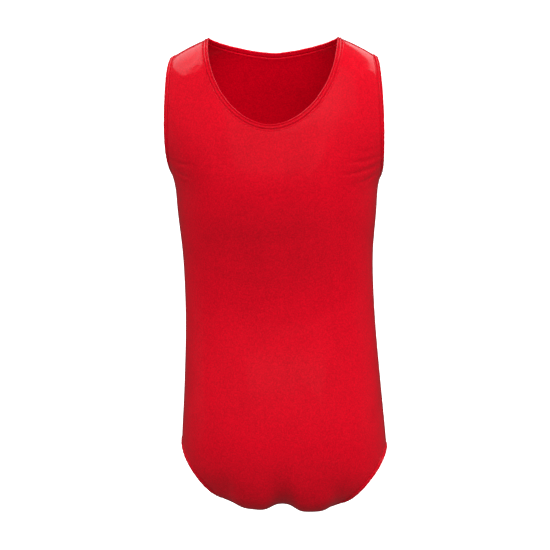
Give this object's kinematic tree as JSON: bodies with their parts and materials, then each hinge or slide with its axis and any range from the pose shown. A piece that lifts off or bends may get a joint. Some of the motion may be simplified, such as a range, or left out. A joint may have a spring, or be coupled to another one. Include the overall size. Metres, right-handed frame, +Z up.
{
  "type": "sleeveless leotard",
  "caption": "Child's sleeveless gymnastics leotard with a scooped back neckline and narrow stitched edge bands, filled out as it is worn.",
  "frame": {"origin": "midway between the neck ends of the two shoulder seams, where the wearer's shoulders hold the garment up", "axes": "+Z up along the body, +Y the way the wearer faces, +X to the wearer's right; the back faces -Y"},
  "size_m": [0.2419, 0.1721, 0.5157],
  "materials": {
    "body_cloth": "shiny satin stretch knit, red",
    "edge_band": "the same knit folded over elastic and sewn with a twin needle"
  },
  "bodies": {
    "root": {"back_panel": "body_cloth", "front_panel": "body_cloth", "neck_band": "edge_band", "armhole_band_left": "edge_band", "armhole_band_right": "edge_band", "leg_band_left": "edge_band", "leg_band_right": "edge_band"}
  },
  "joints": []
}
